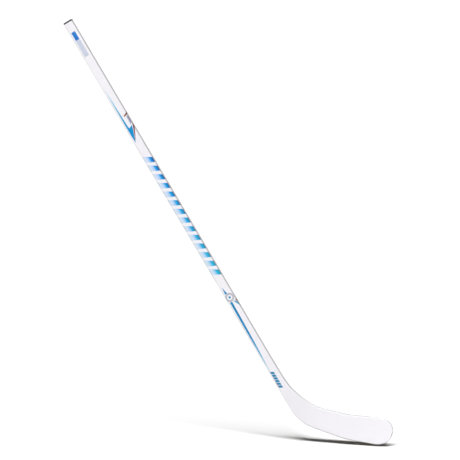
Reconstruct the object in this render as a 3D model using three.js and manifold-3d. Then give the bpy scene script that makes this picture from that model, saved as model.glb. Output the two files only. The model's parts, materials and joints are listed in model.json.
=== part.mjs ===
// Ice hockey stick, left-handed, one-piece composite, at the size for an older child.
// Millimetres, +Z up. The stick leans in the XZ plane as it is held for display: the butt
// is up towards -X, the toe is the lowest point towards +X, and the forehand face looks at -Y.
//
// The origin is on the shaft's axis at the grip. Two working frames are nested in the group
// that is exported:
//   shaft frame: z runs up the shaft from the heel corner, x across it towards the toe side
//   blade frame: x runs along the sole from the heel corner to the toe, z up the blade

import * as THREE from 'three';
import { mergeVertices } from 'three/addons/utils/BufferGeometryUtils.js';
import Module from 'manifold-3d';

const wasm = await Module();
wasm.setup();

// ---------------------------------------------------------------- driving dimensions

const SHAFT_LENGTH = 1321;      // heel corner to butt, 52 in
const SHAFT_WIDTH = 26.7;       // broad face
const SHAFT_DEPTH = 19;         // narrow face
const SHAFT_CORNER = 3.5;
const SHAFT_WALL = 1.8;
const SHAFT_LEAN = 31.2;        // degrees from upright
const GRIP_HEIGHT = 1171;       // middle of the upper hand's grip, above the heel corner
const LIE_ANGLE = 135;          // degrees between the shaft and the sole

const HOSEL_JOINT = 190;        // height of the glued joint above the heel corner
const THROAT_HEIGHT = 105;      // above the heel corner, where the blade's outline begins
const THROAT_FLARE = 3;         // how much wider than the shaft the hosel is there
const TENON_REACH = 60;         // length of the tenon on each side of the joint

const BLADE_THICK_HEEL = 8.5;
const BLADE_THICK_TOE = 5.5;
const BLADE_WALL = 1.2;
const BLADE_CURVE_DEPTH = 13;   // how far the toe bows towards the forehand side
const BLADE_CURVE_START = 20;   // where the bow starts, from the heel corner
const BLADE_CURVE_POWER = 1.7;
const BLADE_OPEN_FACE = 3;      // degrees that the face leans back at the toe
const TOE_TIP = 274.4;
const TOE_TIP_HEIGHT = 39.3;
const TOE_EDGE_RADIUS = 2.8;
const RIB_THICKNESS = 1.6;
const RIB_START = 30;
const RIB_END = 242;

const BUTT_CAP_HEIGHT = 4.4;
const BUTT_DOME_INSET = 3;
const BUTT_STEM_LENGTH = 42;
const BUTT_RIB_COUNT = 4;

const FIT_GAP = 0.3;            // clearance between two pieces that touch
const FILM_GAP = 0.1;
const FILM_THICKNESS = 0.15;
const FILM_HALF_WIDTH = SHAFT_WIDTH / 2 - SHAFT_CORNER - 0.1;

const BAR_COUNT = 14;
const BAR_FIRST = 876;          // height of the bar nearest the butt, above the heel corner
const BAR_PITCH = 28.75;
const BAR_LENGTH = 17;
const BAR_SLANT = 0.52;         // fall per unit of width, towards the toe side
const BADGE_HEIGHT = 404.3;
const BADGE_HOLE_RADIUS = 6.4;
const BADGE_DOT_RADIUS = 2.8;
const HEEL_DASH_COUNT = 6;
const HEEL_DASH_FIRST = 154;
const HEEL_DASH_PITCH = 9;
const HEEL_DASH_LENGTH = 5.4;

// ------------------------------------------------------------------------- finishes

function finish(color, roughness, metalness = 0) {
  return new THREE.MeshStandardMaterial({ color, roughness, metalness });
}

const makeFinish = {
  whiteGloss: () => finish(0xf3f2f6, 0.28),
  blackPlastic: () => finish(0x26262a, 0.55),
  carbon: () => finish(0x1b1c1f, 0.4),
  foam: () => finish(0xd9cfae, 0.95),
  blueFilm: () => finish(0x1787cf, 0.3),
  darkBlueFilm: () => finish(0x2f74d0, 0.3),
  paleFilm: () => finish(0xd6d7e6, 0.35),
  redFilm: () => finish(0x84433c, 0.35),
  greyFilm: () => finish(0xa79fab, 0.35),
};

// ------------------------------------------------------------------- solids and rings

function degrees(value) {
  return THREE.MathUtils.degToRad(value);
}

// Points of a rounded rectangle, anticlockwise, centred on the origin.
function roundedRectangle(width, height, radius, cornerSteps) {
  const points = [];
  const centres = [
    [width / 2 - radius, height / 2 - radius],
    [radius - width / 2, height / 2 - radius],
    [radius - width / 2, radius - height / 2],
    [width / 2 - radius, radius - height / 2],
  ];
  centres.forEach(([x, y], quarter) => {
    for (let step = 0; step <= cornerSteps; step += 1) {
      const angle = (quarter + step / cornerSteps) * Math.PI / 2;
      points.push(new THREE.Vector2(x + radius * Math.cos(angle), y + radius * Math.sin(angle)));
    }
  });
  return points;
}

// A closed solid through a list of rings that have the same number of points.
function loft(rings) {
  const count = rings[0].length;
  const vertices = rings.flat();
  const triangles = [];
  for (let ring = 0; ring < rings.length - 1; ring += 1) {
    for (let side = 0; side < count; side += 1) {
      const here = ring * count + side;
      const next = ring * count + (side + 1) % count;
      triangles.push(here, next, next + count, here, next + count, here + count);
    }
  }
  const last = (rings.length - 1) * count;
  const startCentre = vertices.push(centroid(rings[0])) - 1;
  const endCentre = vertices.push(centroid(rings.at(-1))) - 1;
  for (let side = 0; side < count; side += 1) {
    const next = (side + 1) % count;
    triangles.push(startCentre, next, side);
    triangles.push(endCentre, last + side, last + next);
  }
  const geometry = new THREE.BufferGeometry().setFromPoints(vertices);
  geometry.setIndex(triangles);
  return geometry;
}

function centroid(points) {
  const sum = new THREE.Vector3();
  points.forEach((point) => sum.add(point));
  return sum.divideScalar(points.length);
}

function toManifold(geometry) {
  const bare = geometry.clone();
  bare.deleteAttribute('normal');
  bare.deleteAttribute('uv');
  const merged = mergeVertices(bare, 1e-4);
  return new wasm.Manifold(new wasm.Mesh({
    numProp: 3,
    vertProperties: new Float32Array(merged.attributes.position.array),
    triVerts: new Uint32Array(merged.index.array),
  }));
}

function toGeometry(manifold) {
  const mesh = manifold.getMesh();
  const geometry = new THREE.BufferGeometry();
  geometry.setAttribute('position', new THREE.BufferAttribute(mesh.vertProperties, 3));
  geometry.setIndex(new THREE.BufferAttribute(mesh.triVerts, 1));
  return geometry;
}

function named(name, geometry, material) {
  const mesh = new THREE.Mesh(geometry, material);
  mesh.name = name;
  return mesh;
}

// ---------------------------------------------------------------------- shaft pieces

const SHAFT_CORNER_STEPS = 5;
const SMALLEST_CORNER = 1.2;

function shaftSection(inset) {
  const radius = Math.max(SHAFT_CORNER - inset, SMALLEST_CORNER);
  return roundedRectangle(
    SHAFT_WIDTH - 2 * inset, SHAFT_DEPTH - 2 * inset, radius, SHAFT_CORNER_STEPS);
}

function shaftRing(inset, height) {
  return shaftSection(inset).map((point) => new THREE.Vector3(point.x, point.y, height));
}

// A tube with the shaft's outline, between two insets and two heights.
function shaftSleeve(outerInset, innerInset, bottom, top) {
  const shape = new THREE.Shape(shaftSection(outerInset));
  shape.holes.push(new THREE.Path(shaftSection(innerInset).reverse()));
  const geometry = new THREE.ExtrudeGeometry(shape, { depth: top - bottom, bevelEnabled: false });
  return geometry.translate(0, 0, bottom);
}

function shaftTube() {
  return shaftSleeve(0, SHAFT_WALL, HOSEL_JOINT + FIT_GAP, SHAFT_LENGTH - BUTT_CAP_HEIGHT - FIT_GAP);
}

// The cap's stem has crush ribs, and its head has the shaft's outline with a low dome.
function buttPlug() {
  const stemInset = SHAFT_WALL + FIT_GAP;
  const ribDepth = 0.7;
  const tipTaper = 1.5;
  const headBottom = SHAFT_LENGTH - BUTT_CAP_HEIGHT;
  const ribPitch = BUTT_STEM_LENGTH / (BUTT_RIB_COUNT + 1);
  const rings = [shaftRing(stemInset + tipTaper, headBottom - BUTT_STEM_LENGTH)];
  for (let rib = 1; rib <= BUTT_RIB_COUNT; rib += 1) {
    const middle = headBottom - BUTT_STEM_LENGTH + rib * ribPitch;
    rings.push(shaftRing(stemInset + ribDepth, middle - ribPitch / 2));
    rings.push(shaftRing(stemInset, middle));
  }
  rings.push(shaftRing(stemInset + ribDepth, headBottom));
  rings.push(shaftRing(0, headBottom));
  const domeSteps = 4;
  const straightShare = 0.45;
  for (let step = 0; step <= domeSteps; step += 1) {
    const angle = step / domeSteps * Math.PI / 2;
    const inset = BUTT_DOME_INSET * (1 - Math.cos(angle));
    const rise = BUTT_CAP_HEIGHT * (straightShare + (1 - straightShare) * Math.sin(angle));
    rings.push(shaftRing(inset, headBottom + rise));
  }
  return loft(rings);
}

const TENON_INSET = SHAFT_WALL + FIT_GAP;
const TENON_WALL = 1.6;

function tenonSleeve() {
  return shaftSleeve(TENON_INSET, TENON_INSET + TENON_WALL,
    HOSEL_JOINT - TENON_REACH, HOSEL_JOINT + TENON_REACH);
}

function tenonCore() {
  const inset = TENON_INSET + TENON_WALL + FIT_GAP;
  const endSpace = 2;
  return loft([
    shaftRing(inset, HOSEL_JOINT - TENON_REACH + endSpace),
    shaftRing(inset, HOSEL_JOINT + TENON_REACH - endSpace),
  ]);
}

// ---------------------------------------------------------------------- blade outline

// Bottom and top points of the blade's outline, in pairs from the throat to the toe's start:
// bottom x and z, then top x and z.
const BLADE_PAIRS = [
  [-60.5, 59.2, -45, 89],
  [-35.6, 34.9, -30, 80.5],
  [-17, 17, -15.8, 73.5],
  [3, 4.6, 0, 66.9],
  [24, -4.6, 25, 58.8],
  [52, -8.4, 52, 54.7],
  [92, -10.9, 92, 55.8],
  [142, -13, 142, 59.3],
  [190, -8.6, 190, 68],
];
const TOE_TOP = { x: 236, z: 75.1, power: 2.3 };
const TOE_BOTTOM = { x: 214, z: -5.5, power: 2.15 };
const TOE_ANGLES = [0, 22, 42, 58, 70, 79, 85];

const shaftUp = new THREE.Vector2(Math.cos(degrees(LIE_ANGLE)), Math.sin(degrees(LIE_ANGLE)));
const shaftAcross = new THREE.Vector2(shaftUp.y, -shaftUp.x);

function outlinePoint(x, z) {
  return new THREE.Vector3(x, 0, z);
}

function hoselPair(height, flare = 0) {
  const bottom = shaftUp.clone().multiplyScalar(height);
  const top = bottom.clone().addScaledVector(shaftAcross, SHAFT_WIDTH + flare);
  return [outlinePoint(bottom.x, bottom.y), outlinePoint(top.x, top.y)];
}

// A quarter of a superellipse, from a start on the outline to the tip of the toe.
function toePoint(start, angle) {
  const along = Math.sin(angle) ** (2 / start.power);
  const across = Math.cos(angle) ** (2 / start.power);
  return outlinePoint(
    start.x + (TOE_TIP - start.x) * along,
    TOE_TIP_HEIGHT + (start.z - TOE_TIP_HEIGHT) * across);
}

const outlinePairs = [
  hoselPair(HOSEL_JOINT),
  hoselPair(HOSEL_JOINT - TENON_REACH, THROAT_FLARE / 3),
  hoselPair(THROAT_HEIGHT, THROAT_FLARE),
  ...BLADE_PAIRS.map(([bx, bz, tx, tz]) => [outlinePoint(bx, bz), outlinePoint(tx, tz)]),
  ...TOE_ANGLES.map((angle) => [
    toePoint(TOE_BOTTOM, degrees(angle)), toePoint(TOE_TOP, degrees(angle))]),
];
const TENON_END_PAIR = 1;
const LAST_PAIR = outlinePairs.length - 1;
const bottomCurve = new THREE.CatmullRomCurve3(outlinePairs.map((pair) => pair[0]), false);
const topCurve = new THREE.CatmullRomCurve3(outlinePairs.map((pair) => pair[1]), false);

// ---------------------------------------------------------------------- blade section

const { smoothstep, clamp, lerp, mapLinear } = THREE.MathUtils;
const BLADE_CORNER_STEPS = 3;
const TAPER_START = -66;        // where the hosel starts to thin, from the heel corner
const TAPER_END = 40;

function bladeThickness(x) {
  const fade = smoothstep(x, TAPER_START, TAPER_END);
  const toeward = clamp(mapLinear(x, TAPER_END, TOE_TIP, 0, 1), 0, 1);
  const thickness = lerp(lerp(SHAFT_DEPTH, BLADE_THICK_HEEL, fade), BLADE_THICK_TOE, toeward);
  const thinnest = 0.97;
  const past = clamp((x - TOE_TIP + TOE_EDGE_RADIUS) / TOE_EDGE_RADIUS, 0, thinnest);
  return thickness * Math.sqrt(1 - past * past);
}

function bladeWall(x) {
  return lerp(SHAFT_WALL, BLADE_WALL, smoothstep(x, TAPER_START, TAPER_END));
}

function bladeBow(x) {
  const share = Math.max(0, (x - BLADE_CURVE_START) / (TOE_TIP - BLADE_CURVE_START));
  return -BLADE_CURVE_DEPTH * share ** BLADE_CURVE_POWER;
}

// The section at a place on the outline, counted in outline pairs from the joint.
function stationAt(place) {
  const bottom = bottomCurve.getPoint(place / LAST_PAIR);
  const top = topCurve.getPoint(place / LAST_PAIR);
  const middle = bottom.clone().add(top).divideScalar(2);
  const up = top.clone().sub(bottom).normalize();
  const openFace = BLADE_OPEN_FACE * clamp(middle.x / TOE_TIP, 0, 1);
  return {
    middle,
    up,
    height: bottom.distanceTo(top),
    thickness: bladeThickness(middle.x),
    lean: Math.tan(degrees(openFace)),
  };
}

// A point of a section: across is through the blade, along is up the section.
function sectionPoint(station, across, along) {
  const point = station.middle.clone().addScaledVector(station.up, along);
  point.y = across + along * station.lean + bladeBow(point.x);
  return point;
}

function roundedStationRing(station, inset) {
  const thickness = station.thickness - 2 * inset;
  const height = station.height - 2 * inset;
  const radius = Math.min(Math.max(SHAFT_CORNER - inset, SMALLEST_CORNER), 0.46 * thickness);
  const outline = roundedRectangle(thickness, height, radius, BLADE_CORNER_STEPS);
  return outline.map((point) => sectionPoint(station, point.x, point.y));
}

function slabStationRing(station, acrossLow, acrossHigh, alongLow, alongHigh) {
  return [
    sectionPoint(station, acrossHigh, alongHigh),
    sectionPoint(station, acrossLow, alongHigh),
    sectionPoint(station, acrossLow, alongLow),
    sectionPoint(station, acrossHigh, alongLow),
  ];
}

const STEPS_PER_PAIR = 2;

// Places from one to another, with every shared step between them.
function placesBetween(from, to) {
  const places = [from];
  for (let step = 1; step < LAST_PAIR * STEPS_PER_PAIR; step += 1) {
    const place = step / STEPS_PER_PAIR;
    if (place > from + 0.05 && place < to - 0.05) {
      places.push(place);
    }
  }
  places.push(to);
  return places;
}

// The place on the outline whose section is centred at a distance along the sole.
function placeOf(x) {
  let low = 0;
  let high = LAST_PAIR;
  for (let turn = 0; turn < 40; turn += 1) {
    const middle = (low + high) / 2;
    if (stationAt(middle).middle.x < x) {
      low = middle;
    } else {
      high = middle;
    }
  }
  return low;
}

function bladeBody(from, to, insetAt) {
  const stations = placesBetween(from, to).map(stationAt);
  return toManifold(loft(stations.map(
    (station) => roundedStationRing(station, insetAt(station.middle.x)))));
}

// A slab that follows the blade's bow, for splitting it into pieces. The last two numbers
// limit it along the section, from the section's middle; without them it passes both edges.
function bladeSlab(acrossLow, acrossHigh, alongLow = -Infinity, alongHigh = Infinity) {
  const stations = placesBetween(0, LAST_PAIR).map(stationAt);
  const first = stations[0];
  const last = stations.at(-1);
  const overrun = 3;
  const before = { ...first, middle: first.middle.clone() };
  before.middle.add(new THREE.Vector3(shaftUp.x, 0, shaftUp.y).multiplyScalar(overrun));
  const after = { ...last, middle: last.middle.clone().add(new THREE.Vector3(overrun, 0, 0)) };
  return toManifold(loft([before, ...stations, after].map((station) => {
    const edge = station.height / 2 + overrun;
    return slabStationRing(station, acrossLow, acrossHigh,
      Math.max(alongLow, -edge), Math.min(alongHigh, edge));
  })));
}

// ----------------------------------------------------------------------- blade pieces

const OUTSIDE = 30;             // farther than any surface of the blade, through its thickness
const CAVITY_END = placeOf(TOE_TIP - 3.4);
const FILLER_END = placeOf(TOE_TIP - 4.2);

// The two skins are one moulded shell, parted along the middle of its edge.
function bladeSkins() {
  const outside = bladeBody(0, LAST_PAIR, () => 0);
  const cavity = bladeBody(0, CAVITY_END, bladeWall);
  const shell = outside.subtract(cavity).subtract(toManifold(hoselBore()));
  const halfGap = FIT_GAP / 2;
  const frontSide = bladeSlab(-OUTSIDE, -halfGap);
  const backSide = bladeSlab(halfGap, OUTSIDE);
  return {
    front: toGeometry(shell.intersect(frontSide)),
    back: toGeometry(shell.intersect(backSide)),
  };
}

// The hosel's bore in the blade frame, run a little past the joint so that it opens there.
function hoselBore() {
  const overrun = 2;
  const bore = loft([
    shaftRing(SHAFT_WALL, HOSEL_JOINT - 10),
    shaftRing(SHAFT_WALL, HOSEL_JOINT + overrun),
  ]);
  bore.translate(SHAFT_WIDTH / 2, 0, 0);
  return bore.rotateY(-degrees(LIE_ANGLE - 90));
}

function coreInset(x) {
  return bladeWall(x) + FIT_GAP;
}

// The foam between the tenon's end and the start of the rib.
function hoselCore() {
  const tenonEnd = placeOf(stationAt(TENON_END_PAIR).middle.x + 1);
  return toGeometry(bladeBody(tenonEnd, placeOf(RIB_START - 1), coreInset));
}

function bladeCores() {
  const body = bladeBody(placeOf(RIB_START), placeOf(RIB_END), coreInset);
  const half = RIB_THICKNESS / 2;
  const upper = body.intersect(bladeSlab(-OUTSIDE, OUTSIDE, half + FIT_GAP));
  const rib = body.intersect(bladeSlab(-OUTSIDE, OUTSIDE, -half, half));
  const lower = body.intersect(bladeSlab(-OUTSIDE, OUTSIDE, -Infinity, -half - FIT_GAP));
  return { upper: toGeometry(upper), rib: toGeometry(rib), lower: toGeometry(lower) };
}

function toeFiller() {
  return toGeometry(bladeBody(placeOf(RIB_END + 1), FILLER_END, coreInset));
}

// ---------------------------------------------------------------------- printed films

// A film lies flat on one broad face: its outline is drawn in shaft x and z.
function film(outline, side, holes = []) {
  const shape = new THREE.Shape(outline.map(([x, z]) => new THREE.Vector2(x, z)));
  holes.forEach((hole) => shape.holes.push(hole));
  const geometry = new THREE.ExtrudeGeometry(shape, {
    depth: FILM_THICKNESS, bevelEnabled: false, curveSegments: 16 });
  geometry.rotateX(Math.PI / 2);
  const faceDistance = SHAFT_DEPTH / 2 + FILM_GAP;
  const y = side === 'front' ? -faceDistance : faceDistance + FILM_THICKNESS;
  return geometry.translate(0, y, 0);
}

function slantedBar(bottom, length, left, right) {
  const fall = (right - left) * BAR_SLANT;
  return [
    [left, bottom],
    [right, bottom - fall],
    [right, bottom - fall + length],
    [left, bottom + length],
  ];
}

function upright(left, right, bottom, top) {
  return [[left, bottom], [right, bottom], [right, top], [left, top]];
}

function circleOutline(radius, height, steps) {
  const points = [];
  for (let step = 0; step < steps; step += 1) {
    const angle = step / steps * Math.PI * 2;
    points.push([radius * Math.cos(angle), height + radius * Math.sin(angle)]);
  }
  return points;
}

// Outlines of the single marks, as shaft x and z.
const LABEL_BLOCK = upright(-6.3, 5.9, 1259.7, 1286);
const LABEL_PANEL = upright(-7.3, 6.6, 1206.8, 1258.8);
const UPPER_STRIPE = [
  [-6.7, 1099], [-8.1, 947], [-6.9, 933], [8.4, 968.5], [9.5, 976], [-3.1, 960], [-5.9, 1099],
];
const UPPER_ACCENT = [[3.7, 998.6], [9.7, 1002.6], [9.7, 1004.8], [3.7, 1001]];
const LOWER_ACCENT = [[1, 934.6], [9.7, 956], [9.7, 959], [0.4, 936]];
const LOWER_STRIPE = [[-5.8, 389.7], [-8.4, 163], [-7.6, 163], [-0.4, 389.7]];
const BADGE_TICK = [[-6.5, 420.5], [-3.2, 419.1], [-0.6, 420.5], [-3.1, 436]];
const BADGE_ACCENT = [[4, 380], [9.7, 374], [9.7, 379.5], [5.5, 386]];

function labelFilms() {
  return [
    named('label_block_front', film(LABEL_BLOCK, 'front'), makeFinish.darkBlueFilm()),
    named('label_panel_front', film(LABEL_PANEL, 'front'), makeFinish.paleFilm()),
  ];
}

function barFilms(side) {
  const films = [];
  for (let bar = 0; bar < BAR_COUNT; bar += 1) {
    const bottom = BAR_FIRST - BAR_LENGTH - bar * BAR_PITCH;
    const outline = slantedBar(bottom, BAR_LENGTH, -FILM_HALF_WIDTH, FILM_HALF_WIDTH);
    const number = String(bar + 1).padStart(2, '0');
    films.push(named(`bar_${number}_${side}`, film(outline, side), makeFinish.blueFilm()));
  }
  return films;
}

function badgeFilms(side) {
  const hole = new THREE.Path();
  hole.absarc(0, BADGE_HEIGHT, BADGE_HOLE_RADIUS, 0, Math.PI * 2, true);
  return [
    named(`badge_ring_${side}`, film(circleOutline(FILM_HALF_WIDTH, BADGE_HEIGHT, 32), side, [hole]),
      makeFinish.greyFilm()),
    named(`badge_dot_${side}`, film(circleOutline(BADGE_DOT_RADIUS, BADGE_HEIGHT, 20), side),
      makeFinish.blueFilm()),
  ];
}

function stripeFilms(side) {
  return [
    named(`upper_stripe_${side}`, film(UPPER_STRIPE, side), makeFinish.blueFilm()),
    named(`lower_stripe_${side}`, film(LOWER_STRIPE, side), makeFinish.blueFilm()),
  ];
}

function accentFilms() {
  return [
    named('upper_accent_front', film(UPPER_ACCENT, 'front'), makeFinish.redFilm()),
    named('lower_accent_front', film(LOWER_ACCENT, 'front'), makeFinish.redFilm()),
    named('badge_tick_front', film(BADGE_TICK, 'front'), makeFinish.blueFilm()),
    named('badge_accent_front', film(BADGE_ACCENT, 'front'), makeFinish.redFilm()),
  ];
}

function heelDashFilms() {
  const films = [];
  for (let dash = 0; dash < HEEL_DASH_COUNT; dash += 1) {
    const bottom = HEEL_DASH_FIRST - dash * HEEL_DASH_PITCH;
    const outline = slantedBar(bottom, HEEL_DASH_LENGTH, -FILM_HALF_WIDTH, -0.4);
    films.push(named(`heel_dash_${dash + 1}_front`, film(outline, 'front'), makeFinish.blueFilm()));
  }
  return films;
}

// --------------------------------------------------------------------------- assembly

const skins = bladeSkins();
const cores = bladeCores();

const blade = new THREE.Group();
blade.position.x = -SHAFT_WIDTH / 2;
blade.rotation.y = degrees(LIE_ANGLE - 90);
blade.add(
  named('blade_front_skin', skins.front, makeFinish.whiteGloss()),
  named('blade_back_skin', skins.back, makeFinish.whiteGloss()),
  named('hosel_core', hoselCore(), makeFinish.foam()),
  named('blade_core_upper', cores.upper, makeFinish.foam()),
  named('blade_core_lower', cores.lower, makeFinish.foam()),
  named('blade_rib', cores.rib, makeFinish.carbon()),
  named('toe_filler', toeFiller(), makeFinish.foam()),
);

const gripCentred = new THREE.Group();
gripCentred.position.z = -GRIP_HEIGHT;
gripCentred.add(
  named('shaft_tube', shaftTube(), makeFinish.whiteGloss()),
  named('butt_plug', buttPlug(), makeFinish.blackPlastic()),
  named('tenon_sleeve', tenonSleeve(), makeFinish.carbon()),
  named('tenon_core', tenonCore(), makeFinish.foam()),
  ...labelFilms(),
  ...barFilms('front'),
  ...stripeFilms('front'),
  ...accentFilms(),
  ...badgeFilms('front'),
  ...heelDashFilms(),
  ...barFilms('back'),
  ...stripeFilms('back'),
  ...badgeFilms('back'),
  blade,
);

// The origin is on the shaft's axis in the middle of the grip, where the stick is held up.
const stick = new THREE.Group();
stick.name = 'ice_hockey_stick';
stick.rotation.y = -degrees(SHAFT_LEAN);
stick.add(gripCentred);

export default stick;
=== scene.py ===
# %% [markdown]
# # An ice hockey stick, from its CAD frame to a studio picture
#
# A composite hockey stick looks simple: a long rectangular tube, a thin curved blade and some
# printed marks. What makes it read as a real one is in the small things: the soft corners of the
# tube, the way the hosel thins into the blade, marks that wrap round a corner instead of
# floating on it, and a clear coat that is not quite flat. This lesson makes each of those.
#
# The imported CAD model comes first. It is a fixed frame: it says where the grip, the faces and
# the butt are, and every new piece is placed from those.

# %% Load the frame
import json
import math

import bmesh
import bpy
from mathutils import Matrix, Vector


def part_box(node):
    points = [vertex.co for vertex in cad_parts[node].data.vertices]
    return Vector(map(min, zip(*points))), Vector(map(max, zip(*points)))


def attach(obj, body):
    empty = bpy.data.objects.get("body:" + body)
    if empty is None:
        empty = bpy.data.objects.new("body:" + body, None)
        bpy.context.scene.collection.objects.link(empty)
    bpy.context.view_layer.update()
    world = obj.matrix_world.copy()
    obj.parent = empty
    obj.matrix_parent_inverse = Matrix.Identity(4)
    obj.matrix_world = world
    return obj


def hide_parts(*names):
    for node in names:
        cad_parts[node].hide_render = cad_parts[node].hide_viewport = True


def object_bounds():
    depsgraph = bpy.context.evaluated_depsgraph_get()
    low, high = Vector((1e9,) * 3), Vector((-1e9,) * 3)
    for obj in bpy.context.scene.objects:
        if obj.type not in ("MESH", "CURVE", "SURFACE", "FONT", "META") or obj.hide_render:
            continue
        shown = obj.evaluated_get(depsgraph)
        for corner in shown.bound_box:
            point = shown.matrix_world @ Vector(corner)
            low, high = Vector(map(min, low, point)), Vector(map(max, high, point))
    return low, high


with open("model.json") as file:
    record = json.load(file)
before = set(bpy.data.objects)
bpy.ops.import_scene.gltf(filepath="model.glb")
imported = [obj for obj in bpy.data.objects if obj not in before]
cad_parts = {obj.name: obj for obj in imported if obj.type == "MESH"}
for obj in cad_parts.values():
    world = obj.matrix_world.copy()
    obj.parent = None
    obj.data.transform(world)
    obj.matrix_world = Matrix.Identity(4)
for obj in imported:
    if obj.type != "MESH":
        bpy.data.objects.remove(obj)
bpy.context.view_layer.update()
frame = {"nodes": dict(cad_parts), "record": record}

print("CAD nodes:", len(frame["nodes"]))

# %% [markdown]
# ## Two working frames
#
# A stick is drawn in two frames, as its maker draws it. The shaft frame has z up the shaft from
# the heel corner and x across it towards the toe side. The blade frame starts at the same heel
# corner with x along the sole. Both could be typed in as angles, but the record's mounts already
# hold the shaft's direction and its side faces, so the frames are read from there, and
# only the lie (the angle between shaft and sole) is a number of the stick's own.

# %% Read the shaft and blade frames
MM = 0.001
SHAFT_LENGTH = 1321 * MM
LIE_ANGLE = math.radians(135)

mounts = {mount["name"]: mount for mount in frame["record"]["mounts"]}
butt = Vector(mounts["butt_plug_top"]["pos_m"])
up_shaft = Vector(mounts["butt_plug_top"]["axis"]).normalized()
across = Vector(mounts["shaft_toe_side_face"]["axis"]).normalized()
tube_low, tube_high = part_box("shaft_tube")

SHAFT_WIDTH = 2 * (Vector(mounts["shaft_toe_side_face"]["pos_m"]) - butt).dot(across)
SHAFT_DEPTH = tube_high.y - tube_low.y

SHAFT_FRAME = Matrix((across, up_shaft.cross(across), up_shaft)).transposed().to_4x4()
SHAFT_FRAME.translation = butt - up_shaft * SHAFT_LENGTH
heel_corner = Matrix.Translation((-SHAFT_WIDTH / 2, 0, 0))
BLADE_FRAME = SHAFT_FRAME @ heel_corner @ Matrix.Rotation(LIE_ANGLE - math.pi / 2, 4, "Y")
print("shaft section, mm:", round(SHAFT_WIDTH / MM, 2), "x", round(SHAFT_DEPTH / MM, 2))

# %% [markdown]
# ## Small tools for materials
#
# Every finish is a node material. Three effects are shared by several finishes, so each is a
# node group, built once: the ripple of sprayed paint (orange peel), the weave that shows
# faintly through paint on a laminate, and slow blotches that keep gloss from being even. A
# group gives only values that vary over the surface. The shader and its constant values stay
# in the material.


# %% Node helpers
# A Mix node set to colours keeps its two colours and its result at these places.
MIX_A, MIX_B, MIX_RESULT = 6, 7, 2


def srgb(hex_colour):
    """A colour written as #rrggbb, turned into the linear values that nodes use."""
    channels = [int(hex_colour[i:i + 2], 16) / 255 for i in (1, 3, 5)]
    linear = [c / 12.92 if c <= 0.04045 else ((c + 0.055) / 1.055) ** 2.4 for c in channels]
    return (*linear, 1)


def add_node(tree, kind, **settings):
    """A node with its attributes and named input values set in one go."""
    node = tree.nodes.new(kind)
    for key, value in settings.items():
        if key in node.inputs:
            node.inputs[key].default_value = value
        else:
            setattr(node, key, value)
    return node


def begin_group(name, inputs, outputs):
    """An empty node group with float or vector inputs and float outputs."""
    group = bpy.data.node_groups.new(name, "ShaderNodeTree")
    group.interface.new_socket("Vector", in_out="INPUT", socket_type="NodeSocketVector")
    for label, default in inputs.items():
        socket = group.interface.new_socket(label, in_out="INPUT", socket_type="NodeSocketFloat")
        socket.default_value = default
    for label in outputs:
        group.interface.new_socket(label, in_out="OUTPUT", socket_type="NodeSocketFloat")
    start = group.nodes.new("NodeGroupInput")
    end = group.nodes.new("NodeGroupOutput")
    return group, start, end


def place_group(tree, group, vector, **values):
    """The group as a node in a material, with its own values."""
    node = tree.nodes.new("ShaderNodeGroup")
    node.node_tree = group
    tree.links.new(vector, node.inputs["Vector"])
    for label, value in values.items():
        node.inputs[label.replace("_", " ")].default_value = value
    return node


# %% Orange peel: the fine ripple of a sprayed coat
def make_orange_peel():
    group, start, end = begin_group(
        "orange_peel", {"Ripples per metre": 400, "Fine share": 0.3}, ["Height"])
    coarse = add_node(group, "ShaderNodeTexNoise", Detail=1.0, Roughness=0.4)
    fine = add_node(group, "ShaderNodeTexNoise", Detail=2.0, Roughness=0.5)
    finer = add_node(group, "ShaderNodeMath", operation="MULTIPLY")
    finer.inputs[1].default_value = 3.7
    mix = add_node(group, "ShaderNodeMix", data_type="FLOAT")
    link = group.links.new
    link(start.outputs["Vector"], coarse.inputs["Vector"])
    link(start.outputs["Vector"], fine.inputs["Vector"])
    link(start.outputs["Ripples per metre"], coarse.inputs["Scale"])
    link(start.outputs["Ripples per metre"], finer.inputs[0])
    link(finer.outputs[0], fine.inputs["Scale"])
    link(start.outputs["Fine share"], mix.inputs["Factor"])
    link(coarse.outputs["Fac"], mix.inputs["A"])
    link(fine.outputs["Fac"], mix.inputs["B"])
    link(mix.outputs["Result"], end.inputs["Height"])
    return group


# %% Laminate weave: two crossing sets of tows
def make_laminate_weave():
    """Crossing sine waves at 45 degrees. Their product is the over and under of a twill."""
    group, start, end = begin_group(
        "laminate_weave", {"Tows per metre": 500}, ["Height", "Tow"])
    link = group.links.new
    split = add_node(group, "ShaderNodeSeparateXYZ")
    link(start.outputs["Vector"], split.inputs[0])
    waves = []
    for operation in ("ADD", "SUBTRACT"):
        diagonal = add_node(group, "ShaderNodeMath", operation=operation)
        link(split.outputs["X"], diagonal.inputs[0])
        link(split.outputs["Z"], diagonal.inputs[1])
        turns = add_node(group, "ShaderNodeMath", operation="MULTIPLY")
        link(diagonal.outputs[0], turns.inputs[0])
        link(start.outputs["Tows per metre"], turns.inputs[1])
        radians = add_node(group, "ShaderNodeMath", operation="MULTIPLY")
        link(turns.outputs[0], radians.inputs[0])
        radians.inputs[1].default_value = math.pi
        wave = add_node(group, "ShaderNodeMath", operation="SINE")
        link(radians.outputs[0], wave.inputs[0])
        waves.append(wave)
    product = add_node(group, "ShaderNodeMath", operation="MULTIPLY")
    link(waves[0].outputs[0], product.inputs[0])
    link(waves[1].outputs[0], product.inputs[1])
    height = add_node(group, "ShaderNodeMapRange", **{"From Min": -1, "From Max": 1})
    link(product.outputs[0], height.inputs["Value"])
    tow = add_node(group, "ShaderNodeMath", operation="GREATER_THAN")
    tow.inputs[1].default_value = 0
    link(product.outputs[0], tow.inputs[0])
    link(height.outputs["Result"], end.inputs["Height"])
    link(tow.outputs[0], end.inputs["Tow"])
    return group


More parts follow.
